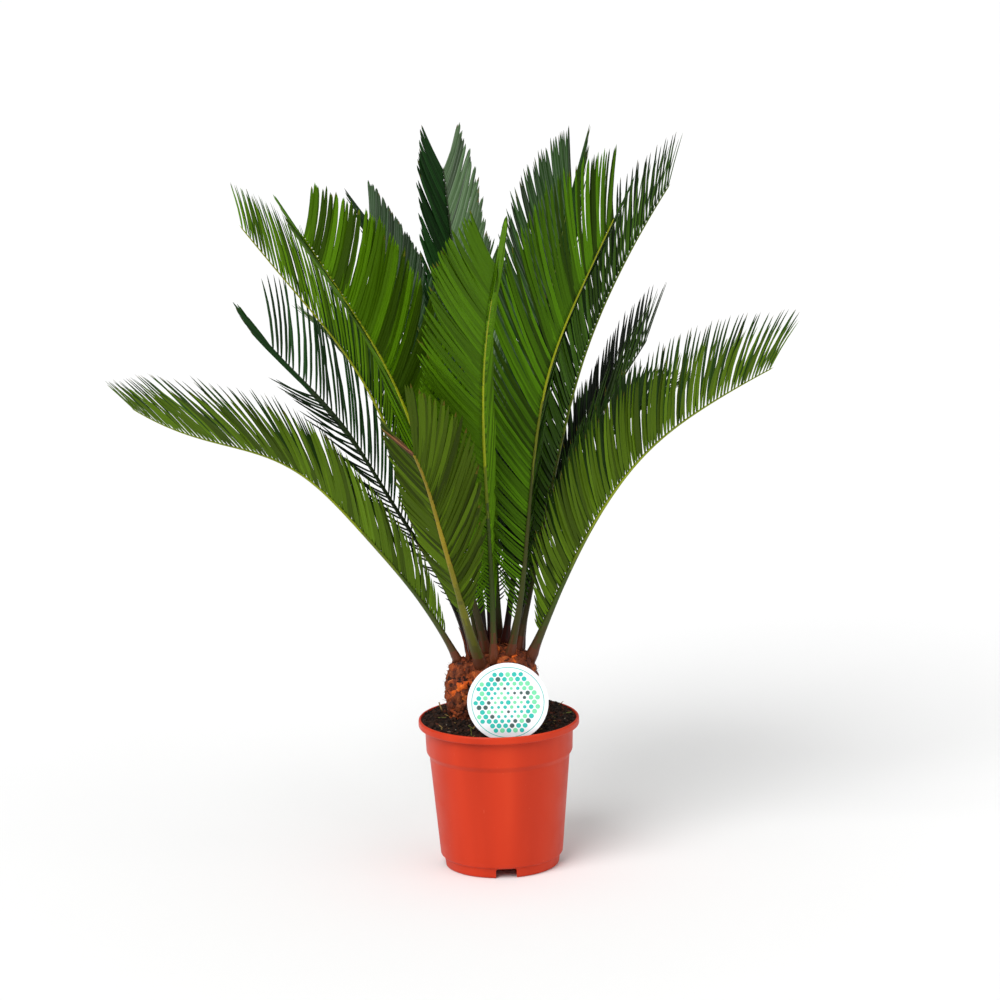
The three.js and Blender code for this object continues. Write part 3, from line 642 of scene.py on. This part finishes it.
def build_pot():
    floor_under = FOOT_H - 0.2
    floor_top = floor_under + 1.9
    pts = [((0, 0), 0), ((PAD_R, 0), 0.6), ((PAD_R + 0.6, floor_under), 0.8), ((57.4, floor_under), 0.8),
           ((57.8, 0), 0.5), ((60.6, 0), 0.7), ((61.4, 1.8), 0.8), ((FOOT_R + 0.8, FOOT_H), 0.5),
           ((BODY_BOTTOM_R, FOOT_H + 1.8), 1.2), ((BODY_TOP_R, COLLAR_BOTTOM - 5), 1.6),
           ((COLLAR_R - 0.9, COLLAR_BOTTOM), 1.4), ((COLLAR_R, LIP_UNDER), 0.9),
           ((LIP_R - 0.7, LIP_UNDER), 0.6), ((LIP_R, LIP_UNDER + 1.2), 0.8),
           ((LIP_R, POT_HEIGHT - 1.2), 1.1), ((LIP_R - 1.1, POT_HEIGHT), 0.9), ((LIP_R - 2.6, POT_HEIGHT), 0.7),
           ((LIP_R - 3.6, LIP_UNDER + 1.6), 0.8), ((COLLAR_R - WALL, LIP_UNDER - 2), 1.0),
           ((COLLAR_R - WALL - 0.8, COLLAR_BOTTOM + 1), 1.0), ((BODY_TOP_R - WALL, COLLAR_BOTTOM - 4), 1.0),
           ((BODY_BOTTOM_R - WALL, floor_top + 1), 0.6), ((BODY_BOTTOM_R - WALL - 1.2, floor_top), 0.3),
           ((0, floor_top), 0)]
    prof = rounded([p for p, _ in pts], [s for _, s in pts])
    # the long straight runs need rows of their own
    dense = [prof[0]]
    for a, b in zip(prof, prof[1:]):
        gap = math.hypot(b[0] - a[0], b[1] - a[1])
        cuts = max(1, int(gap // 14))
        for k in range(1, cuts + 1):
            dense.append((a[0] + (b[0] - a[0]) * k / cuts, a[1] + (b[1] - a[1]) * k / cuts))
    verts, faces = lathe(dense, 160)
    shape = Shape()
    shape.add(verts, faces, 0)
    ob = shape.object("pot_shell", [pot_material()])
    cutters = []
    for k in range(4):
        bm = bmesh.new()
        bmesh.ops.create_cube(bm, size=1.0)
        bmesh.ops.scale(bm, vec=Vector((14, NOTCH_W, FOOT_H - 0.2 + 5)) * MM, verts=bm.verts)
        bmesh.ops.bevel(bm, geom=[e for e in bm.edges if abs(e.verts[0].co.x - e.verts[1].co.x) > 0.005
                                  and e.verts[0].co.z > 0], offset=1.2 * MM, segments=3, affect="EDGES")
        bmesh.ops.translate(bm, vec=Vector((60, 0, (FOOT_H - 0.2 - 5) / 2)) * MM, verts=bm.verts)
        bmesh.ops.rotate(bm, cent=(0, 0, 0), matrix=Matrix.Rotation(math.radians(NOTCH_FIRST + 90 * k), 3, "Z"),
                         verts=bm.verts)
        me = bpy.data.meshes.new(f"cut{k}")
        bm.to_mesh(me)
        bm.free()
        c = bpy.data.objects.new(f"cut{k}", me)
        bpy.context.scene.collection.objects.link(c)
        cutters.append(c)
        mod = ob.modifiers.new(f"cut{k}", "BOOLEAN")
        mod.operation, mod.object, mod.solver = "DIFFERENCE", c, "EXACT"
    dg = bpy.context.evaluated_depsgraph_get()
    me = bpy.data.meshes.new_from_object(ob.evaluated_get(dg))
    ob.modifiers.clear()
    ob.data = me
    for c in cutters:
        bpy.data.objects.remove(c, do_unlink=True)
    me.polygons.foreach_set("use_smooth", [True] * len(me.polygons))
    me.set_sharp_from_angle(angle=math.radians(32))
    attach(ob, "root")
    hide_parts("pot")


build_pot()


# ---- soil -----------------------------------------------------------------------
def lump(x, y, seed=0.0):
    """Cheap smooth unevenness, about -1..1."""
    return (math.sin(x * 0.21 + seed) * math.cos(y * 0.17 - seed) * 0.5
            + math.sin(x * 0.47 + y * 0.38 + 2 * seed) * 0.3
            + math.sin(x * 1.1 - y * 0.9 + seed) * 0.2)


def heap(x, y):
    """Height of the soil's surface."""
    r, a = math.hypot(x, y), math.atan2(y, x)
    z = POT_HEIGHT - 1.6 + 1.1 * lump(x, y, 1.3)
    near = math.exp(-(max(0.0, math.hypot(x - 0, y) - 38) / 16) ** 2)
    z += 3.2 * near
    left = max(0.0, math.cos(a - math.radians(165))) ** 3
    right = max(0.0, math.cos(a - math.radians(28))) ** 2
    band = math.exp(-((r - 66) / 15) ** 2)
    z += band * (4.6 * left + 5.2 * right)
    if r > 74:
        z -= (r - 74) * 0.18
    # scooped out in front of the label
    turn = abs(math.degrees(math.atan2(math.sin(a + math.pi / 2), math.cos(a + math.pi / 2))))
    side = min(max((44 - turn) / 12, 0.0), 1.0)
    out = min(max((r - 58) / 8, 0.0), 1.0)
    return z - (4.6 if r < 79 else 3.4) * side * side * (3 - 2 * side) * out


def soil_material():
    n = Nodes("potting_soil", 0.92, 0.25)
    a = n.noise(230.0, 6.0, 0.66)
    c = n.ramp(a, [(0.28, (14, 9, 6)), (0.48, (32, 20, 13)), (0.62, (52, 32, 20)), (0.8, (86, 56, 36))])
    speck = n.voronoi(430.0)
    c = n.mix(n.grey(speck, 0.05, 0.5, 0.1, 0.0), c, (96, 70, 48))
    n.base(c)
    n.bump(a, 0.7, 0.0016)
    n.bump(n.noise(900.0, 3.0, 0.7), 0.5, 0.0006)
    return n.m


def build_soil():
    shape = Shape()
    rings, segs = 46, 128
    edge = LIP_R - 3.0
    verts = [(0.0, 0.0, heap(0, 0))]
    for k in range(1, rings + 1):
        r = edge * (k / rings)
        for j in range(segs):
            th = 2 * math.pi * j / segs
            x, y = r * math.cos(th), r * math.sin(th)
            z = heap(x, y) + 0.55 * rng.uniform(-1, 1)
            if k == rings:
                z = min(z, POT_HEIGHT - 2.2)
            verts.append((x, y, z))
    faces = [(0, 1 + j, 1 + (j + 1) % segs) for j in range(segs)]
    for k in range(rings - 1):
        for j in range(segs):
            a, b = 1 + k * segs + j, 1 + k * segs + (j + 1) % segs
            faces.append((a, a + segs, b + segs, b))
    # a plug down the pot closes it underneath
    low = [(edge, POT_HEIGHT - 4.5), (COLLAR_R - WALL - 0.4, LIP_UNDER - 3), (COLLAR_R - WALL - 1.2, COLLAR_BOTTOM + 2),
           (BODY_TOP_R - WALL - 0.5, COLLAR_BOTTOM - 5), (BODY_BOTTOM_R - WALL - 0.6, FOOT_H + 4)]
    start = 1 + (rings - 1) * segs
    for r, z in low:
        n = len(verts)
        for j in range(segs):
            th = 2 * math.pi * j / segs
            verts.append((r * math.cos(th), r * math.sin(th), z))
        for j in range(segs):
            a, b = start + j, start + (j + 1) % segs
            faces.append((a, n + j, n + (j + 1) % segs, b))
        start = n
    verts.append((0, 0, FOOT_H + 4))
    for j in range(segs):
        faces.append((start + (j + 1) % segs, start + j, len(verts) - 1))
    shape.add(verts, faces, 0)
    ob = shape.object("soil_bed", [soil_material()])
    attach(ob, "root")
    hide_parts("soil")


def chip(shape, c, size, turn, mat, r):
    """A small broken bit: a box with its corners pulled about."""
    sx, sy, sz = size
    m = turn
    verts = []
    for x in (-1, 1):
        for y in (-1, 1):
            for z in (-1, 1):
                v = Vector((x * sx * r.uniform(0.6, 1), y * sy * r.uniform(0.6, 1), z * sz * r.uniform(0.6, 1)))
                v = m @ v
                verts.append((c[0] + v.x, c[1] + v.y, c[2] + v.z))
    faces = [(0, 1, 3, 2), (4, 6, 7, 5), (0, 4, 5, 1), (2, 3, 7, 6), (0, 2, 6, 4), (1, 5, 7, 3)]
    shape.add(verts, faces, mat)


def build_bits():
    r = random.Random(911)
    mats = [plain("bark_dark", (24, 15, 11), 0.85, 0.2), plain("bark_brown", (48, 28, 18), 0.85, 0.2),
            plain("bark_red", (76, 36, 22), 0.85, 0.2), plain("straw", (138, 112, 66), 0.75, 0.2),
            plain("straw_green", (92, 96, 44), 0.75, 0.2), plain("grit", (150, 138, 122), 0.8, 0.2)]
    shape = Shape()
    for k in range(2600):
        rad = (LIP_R - 5.5) * math.sqrt(r.random())
        th = r.uniform(0, 2 * math.pi)
        x, y = rad * math.cos(th), rad * math.sin(th)
        if math.hypot(x - 4, y - 2) < 35 or math.hypot(x + 37, y + 2) < 14:
            continue
        z = heap(x, y)
        pick = r.random()
        turn = (Matrix.Rotation(r.uniform(0, 6.28), 3, "Z") @ Matrix.Rotation(r.gauss(0, 0.5), 3, "X")
                @ Matrix.Rotation(r.gauss(0, 0.5), 3, "Y"))
        if pick < 0.9:
            s = r.uniform(0.5, 1.7) * (1.5 if r.random() < 0.08 else 1.0)
            mat = 0 if pick < 0.5 else 1 if pick < 0.82 else 2
            chip(shape, (x, y, z + s * 0.2), (s * r.uniform(0.8, 1.5), s, s * r.uniform(0.4, 0.8)), turn, mat, r)
        elif pick < 0.93:
            chip(shape, (x, y, z + 0.5), (r.uniform(4, 10), r.uniform(0.4, 0.9), 0.3), turn,
                 3 if r.random() < 0.75 else 4, r)
        else:
            s = r.uniform(0.3, 0.6)
            chip(shape, (x, y, z + 0.2), (s, s, s), turn, 5 if r.random() < 0.4 else 1, r)
    ob = shape.object("soil_bits", mats, smooth=False)
    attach(ob, "root")
    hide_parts("soil")


build_soil()
build_bits()

# ---- trunk -------------------------------------------------------------------------
HEADS = [
    dict(at=(4, 2), prof=[(36.5, 158), (38.5, 168), (40, 180), (40.5, 192), (39.5, 204), (37.5, 215), (34.5, 223),
                          (29, 229), (20, 233.5), (10, 236.5), (0, 237.5)], scales=120, size=10.5),
    dict(at=(-37, -2), prof=[(15, 158), (18, 168), (20, 178), (20.8, 188), (19.8, 199), (17.5, 209), (15, 217),
                             (11, 222.5), (5.5, 225.5), (0, 226.5)], scales=46, size=8.6),
]


def bark_material(name, dark, mid, light, glow):
    n = Nodes(name, 0.8, 0.2)
    a = n.noise(150.0, 5.0, 0.66, n.mapped((1, 1, 0.7)), 0.6)
    c = n.ramp(a, [(0.3, dark), (0.43, mid), (0.55, light), (0.68, glow)])
    fine = n.noise(1.0, 4.0, 0.6, n.mapped((800, 800, 220)))
    c = n.mix(n.grey(fine, 0.46, 0.0, 0.74, 0.55), c, (44, 20, 13))
    n.base(c)
    n.roughness(n.grey(a, 0.3, 0.6, 0.8, 0.88))
    n.bump(fine, 0.6, 0.0009)
    n.bump(n.noise(320.0, 4.0, 0.6), 0.6, 0.0014)
    return n.m


def profile_at(prof, z):
    for (r0, z0), (r1, z1) in zip(prof, prof[1:]):
        if z0 <= z <= z1:
            k = (z - z0) / (z1 - z0)
            r = r0 + (r1 - r0) * k
            slope = math.atan2(-(r1 - r0), z1 - z0)
            return r, slope
    return prof[-1][0], math.pi / 2


def crust(p, size, tall):
    """Height of the bark's lumps, 0 in the cracks to 1, and a number for each lump."""
    q = Vector((p[0] / size, p[1] / size, p[2] / tall))
    q += 0.35 * noise.noise_vector(q * 1.7)
    near, at = noise.voronoi(q)
    edge = min(1.0, max(0.0, (near[1] - near[0]) * 1.9))
    pick = noise.cell(at[0] * 7.31)
    return edge ** 0.55, pick


def build_trunk():
    r = random.Random(5150)
    # the first bark is near-black, painted shade for the cracks between the lumps
    barks = [bark_material("bark_crack_shade", (16, 8, 6), (32, 15, 10), (56, 26, 15), (84, 40, 22)),
             bark_material("bark_brown", (44, 20, 13), (88, 40, 22), (124, 60, 31), (158, 86, 46)),
             bark_material("bark_rust", (58, 24, 14), (118, 50, 24), (162, 76, 34), (196, 104, 50)),
             bark_material("bark_orange", (104, 40, 16), (190, 78, 24), (228, 104, 30), (244, 142, 58)),
             bark_material("bark_pale", (84, 46, 34), (140, 92, 70), (176, 132, 108), (206, 168, 146))]
    wool = plain("trunk_wool", (128, 70, 38), 0.95, 0.1)
    cut = plain("old_stalk_cut", (122, 78, 46), 0.85, 0.15)
    WOOL, CUT = 5, 6
    shape = Shape()
    for head in HEADS:
        cx, cy = head["at"]
        # the body: rough bark in lumps with cracks between them
        dense = [(0.0, head["prof"][0][1])]
        for (r0, z0), (r1, z1) in zip(head["prof"], head["prof"][1:]):
            cuts = max(2, int(math.hypot(r1 - r0, z1 - z0) / 1.3))
            for k in range(cuts):
                dense.append((r0 + (r1 - r0) * k / cuts, z0 + (z1 - z0) * k / cuts))
        dense.append(head["prof"][-1])
        segs = 168 if head["size"] > 10 else 96
        verts, faces = lathe(dense, segs)
        moved, lifts, picks = [], [], []
        for x, y, z in verts:
            rr, th = math.hypot(x, y), math.atan2(y, x)
            _, slope = profile_at(head["prof"], z)
            lift, pick = crust((x + cx, y + cy, z), 10.5, 8.0)
            small = noise.noise(Vector((x, y, z)) * 0.55)
            out = -2.6 + 2.6 * lift + 0.75 * small if rr > 0.5 else -1.5
            k = 1 + out * math.cos(slope) / max(rr, 2.5)
            moved.append((x * k + cx, y * k + cy, z + out * math.sin(slope)))
            lifts.append(lift)
            picks.append(pick)
        mats = []
        for f in faces:
            lift = sum(lifts[i] for i in f) / len(f)
            pick = picks[f[0]]
            # faces down in the cracks take the near-black first bark: painted shade between the lumps
            mats.append(0 if lift < 0.3 else 1 if pick < 0.4 else 2 if pick < 0.86 else 3 if pick < 0.98 else 4)
        shape.add(moved, faces, mats)
        # ragged leaf bases standing off it in a spiral
        z_low, z_high = 161.0, head["prof"][-2][1] + 0.4
        total = head["scales"]
        for i in range(total):
            k = (i + 0.5) / total
            z = z_low + (z_high - z_low) * k ** 0.9
            th = i * 2.39996 + r.gauss(0, 0.16)
            rad, slope = profile_at(head["prof"], z)
            outward = np.array([math.cos(th), math.sin(th), 0.0])
            up = np.array([0, 0, 1.0])
            # along the surface, upward, and away from it
            surf = unit(up * math.cos(slope) - outward * math.sin(slope))
            norm = unit(outward * math.cos(slope) + up * math.sin(slope))
            lean = math.radians(20 + r.gauss(0, 12))
            d = unit(surf * math.cos(lean) + norm * math.sin(lean))
            across = unit(np.cross(d, norm))
            face = np.cross(across, d)
            if float(face @ norm) < 0:
                face = -face
            size = head["size"] * r.uniform(0.55, 1.1) * (1.0 - 0.2 * k)
            length = size * r.uniform(0.55, 1.05)
            c0 = np.array([cx, cy, 0]) + outward * (rad - 3.4 + r.gauss(0, 0.4)) + up * z - d * length * 0.35
            verts = []
            prof_l = (0.0, 0.2, 0.45, 0.7, 0.9)
            prof_w = (0.8, 1.0, 0.96, 0.72, 0.4)
            prof_t = (0.6, 0.9, 0.9, 0.64, 0.34)
            twist = r.uniform(-0.5, 0.5)
            for u, w, tk in zip(prof_l, prof_w, prof_t):
                c = c0 + d * length * u + across * twist * length * u * u
                for j in range(8):
                    a = 2 * math.pi * j / 8
                    x, y = math.cos(a), math.sin(a)
                    y *= 1.0 if y > 0 else 0.45
                    jit = r.uniform(-0.5, 0.5)
                    verts.append(tuple(c + across * (size * 0.55 * w * x + jit) + face * (size * 0.24 * tk * y + 0.6 * jit)))
            verts.append(tuple(c0 + d * length * 1.1 + across * twist * length + norm * r.uniform(0, 1.2)))
            faces = ring_faces(5, 8, caps=False)
            faces += [(32 + j, 32 + (j + 1) % 8, 40) for j in range(8)] + [tuple(reversed(range(8)))]
            shape.add(verts, faces, r.choice((1, 1, 1, 2, 2, 3)))
        # cut ends of last year's stalks at the back of the crown
        stubs = 5 if head["size"] > 10 else 2
        for i in range(stubs):
            th = math.pi * (i + 0.5) / stubs + r.gauss(0, 0.12)
            z = head["prof"][-3][1] - r.uniform(2, 12)
            rad, slope = profile_at(head["prof"], z)
            outward = np.array([math.cos(th), math.sin(th), 0.0])
            d = unit(outward * 0.55 + np.array([0, 0, 1.0]) + 0.1 * np.array([r.gauss(0, 1), r.gauss(0, 1), 0]))
            across = unit(np.cross(d, outward))
            face = np.cross(across, d)
            w, tk, length = r.uniform(3.4, 4.4), r.uniform(2.4, 3.2), r.uniform(6, 10)
            c0 = np.array([cx, cy, 0]) + outward * (rad - 4.5) + np.array([0, 0, z])
            verts = []
            for u, s in ((0, 1.2), (0.5, 1.05), (0.9, 1.0), (1.0, 0.9)):
                for j in range(10):
                    a = 2 * math.pi * j / 10
                    jit = r.uniform(-0.12, 0.12)
                    verts.append(tuple(c0 + d * length * u + across * (w * s * math.cos(a) + jit) + face * (tk * s * math.sin(a) + jit)))
            faces = ring_faces(4, 10, caps=True)
            shape.add(verts, faces, [1] * (len(faces) - 1) + [CUT])
        # woolly hairs between them
        hairs = 420 if head["size"] > 10 else 170
        for i in range(hairs):
            th = r.uniform(0, 2 * math.pi)
            z = 162 + (head["prof"][-2][1] - 162) * r.random() ** 0.7
            rad, slope = profile_at(head["prof"], z)
            outward = np.array([math.cos(th), math.sin(th), 0.0])
            norm = unit(outward * math.cos(slope) + np.array([0, 0, math.sin(slope)]))
            d = unit(norm * 0.7 + np.array([r.gauss(0, 0.4), r.gauss(0, 0.4), 0.8 + r.gauss(0, 0.4)]))
            across = unit(np.cross(d, norm + np.array([0.01, 0.02, 0.3])))
            face = np.cross(across, d)
            length = r.uniform(2, 5)
            c0 = np.array([cx, cy, 0]) + outward * (rad - 1.5) + np.array([0, 0, z])
            curl = np.array([r.gauss(0, 1), r.gauss(0, 1), r.gauss(0, 1)])
            verts = []
            for u, w in ((0, 0.22), (0.5, 0.17)):
                c = c0 + d * length * u + curl * u * u * 0.8
                for j in range(3):
                    a = 2 * math.pi * j / 3
                    verts.append(tuple(c + across * w * math.cos(a) + face * w * math.sin(a)))
            verts.append(tuple(c0 + d * length + curl * 1.6))
            shape.add(verts, [(0, 1, 4, 3), (1, 2, 5, 4), (2, 0, 3, 5), (3, 4, 6), (4, 5, 6), (5, 3, 6), (2, 1, 0)], WOOL)
    # one thin dried stalk left standing on the side head
    verts = []
    path = [(-30, -5, 222), (-32, -5, 234), (-35.2, -5.2, 246), (-37.5, -5, 254), (-40.2, -5, 260)]
    for k, p in enumerate(path):
        w = 1.5 - 0.3 * k
        for j in range(6):
            a = 2 * math.pi * j / 6
            verts.append((p[0] + w * math.cos(a) + r.uniform(-.2, .2), p[1] + w * math.sin(a), p[2] + r.uniform(-.3, .3)))
    shape.add(verts, ring_faces(len(path), 6, caps=True), 1)
    ob = shape.object("trunk_scales", barks + [wool, cut], smooth=True, angle=60)
    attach(ob, "root")
    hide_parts("trunk")


build_trunk()


# ---- plant label ---------------------------------------------------------------------
def build_label():
    cx, cy, cz = 10.0, -68.0, 193.2
    R, th, half = 42.4, 1.2, 4.5
    foot = 110.0 - cz
    a0 = math.asin(half / R)
    pts = [(0, foot), (half, foot + 9), (half, -math.cos(a0) * R)]
    steps = 120
    for k in range(1, steps):
        a = -math.pi / 2 + a0 + (2 * math.pi - 2 * a0) * k / steps
        pts.append((R * math.cos(a), R * math.sin(a)))
    pts += [(-half, -math.cos(a0) * R), (-half, foot + 9)]
    inner = [(x * (1 - 0.35 / max(1.0, math.hypot(x, y))), y * (1 - 0.35 / max(1.0, math.hypot(x, y)))) for x, y in pts]
    rows = [(inner, -th / 2), (pts, -th / 2 + 0.3), (pts, th / 2 - 0.3), (inner, th / 2)]
    n = len(pts)
    verts = [(cx + x, cy + y, cz + z) for ring, y in rows for x, z in ring]
    faces = []
    for k in range(3):
        for j in range(n):
            a, b = k * n + j, k * n + (j + 1) % n
            faces.append((a, b, b + n, a + n))
    faces.append(tuple(reversed(range(n))))
    faces.append(tuple(range(3 * n, 4 * n)))
    card = Nodes("label_card", 0.38, 0.5)
    card.base(card.ramp(card.noise(60.0, 3.0, 0.5), [(0.3, (238, 240, 244)), (0.7, (248, 249, 252))]))
    card.bump(card.noise(500.0, 2.0, 0.5), 0.05, 0.0003)
    shape = Shape()
    shape.add(verts, faces, 0)
    # printed ring and staggered rows of dots, a hair proud of the card, on both faces
    inks = [plain("ink_teal", (38, 190, 176), 0.4), plain("ink_mint", (120, 222, 170), 0.4),
            plain("ink_grey", (64, 92, 88), 0.4)]
    r = random.Random(31)

    def disc(px, pz, rad, mat, side, hole=0.0, segs=20):
        y_in, y_out = side * (th / 2 - 0.25), side * (th / 2 + 0.06)
        vs, fs = [], []
        for yy in (y_in, y_out):
            for k in range(segs):
                a = 2 * math.pi * k / segs
                vs.append((cx + px + rad * math.cos(a), cy + yy, cz + pz + rad * math.sin(a)))
        if hole:
            for yy in (y_in, y_out):
                for k in range(segs):
                    a = 2 * math.pi * k / segs
                    vs.append((cx + px + hole * math.cos(a), cy + yy, cz + pz + hole * math.sin(a)))
        for k in range(segs):
            n1 = (k + 1) % segs
            fs.append((k, n1, segs + n1, segs + k))
            if hole:
                fs.append((2 * segs + n1, 2 * segs + k, 3 * segs + k, 3 * segs + n1))
                fs.append((segs + k, segs + n1, 3 * segs + n1, 3 * segs + k))
                fs.append((n1, k, 2 * segs + k, 2 * segs + n1))
        if not hole:
            fs.append(tuple(range(segs, 2 * segs)))
            fs.append(tuple(reversed(range(segs))))
        if side > 0:
            fs = [tuple(reversed(f)) for f in fs]
        shape.add(vs, fs, mat)

    for side in (-1, 1):
        disc(0, 0, 38.0, 1, side, hole=37.3, segs=96)
        row = 0
        z = -30.0
        while z <= 30.1:
            x = -33.6 + (3.4 if row % 2 else 0.0)
            while x <= 33.7:
                far = math.hypot(x, z)
                if far < 34.0:
                    rad = 1.5 + 1.1 * (0.5 + 0.5 * math.cos(far * 0.2 + 0.6))
                    disc(x, z, rad, r.choice((1, 1, 2, 2, 3)), side)
                x += 6.8
            row += 1
            z += 5.0
    ob = shape.object("plant_label_card", [card.m] + inks, smooth=True, angle=30)
    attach(ob, "root")
    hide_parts("plant_label")


build_label()


# ---- floor, light and camera ----------------------------------------------------------
def stage():
    bm = bmesh.new()
    bmesh.ops.create_grid(bm, x_segments=1, y_segments=1, size=60)
    me = bpy.data.meshes.new("studio_floor")
    bm.to_mesh(me)
    bm.free()
    ob = bpy.data.objects.new("studio_floor", me)
    bpy.context.scene.collection.objects.link(ob)
    ob.location.z = -0.0004
    me.materials.append(plain("studio_white", (238, 238, 238), 0.9, 0.1))


stage()


def sun(name, strength, source, wide):
    """A broad soft light from a direction; wide is its angle in degrees."""
    d = bpy.data.lights.new(name, "SUN")
    d.energy = strength
    d.angle = math.radians(wide)
    o = bpy.data.objects.new(name, d)
    bpy.context.scene.collection.objects.link(o)
    o.location = Vector(source) * 3
    o.rotation_euler = (-Vector(source)).to_track_quat("-Z", "Y").to_euler()


sun("key", 2.5, (-0.5, -0.75, 0.9), 40)
sun("fill", 0.5, (0.8, -0.6, 0.5), 60)
sun("top", 0.75, (0.05, 0.1, 1.0), 90)

world = bpy.data.worlds.new("studio")
world.use_nodes = True
world.node_tree.nodes["Background"].inputs["Color"].default_value = (1, 1, 1, 1)
world.node_tree.nodes["Background"].inputs["Strength"].default_value = 0.35
bpy.context.scene.world = world

cam = bpy.data.cameras.new("camera")
cam.lens = 126.054
cam.sensor_width = 36.0
cam.clip_start, cam.clip_end = 0.05, 100.0
cam_ob = bpy.data.objects.new("camera", cam)
bpy.context.scene.collection.objects.link(cam_ob)
here, there = Vector((0.006737, -3.6, 1.1259)), Vector((0.006737, 0.0, 0.39457))
turn = (there - here).to_track_quat("-Z", "Y").to_matrix() @ Matrix.Rotation(-0.0236, 3, "Z")
cam_ob.matrix_world = Matrix.Translation(here) @ turn.to_4x4()
bpy.context.scene.camera = cam_ob
bpy.context.scene.view_settings.view_transform = "Standard"
bpy.context.scene.view_settings.look = "None"
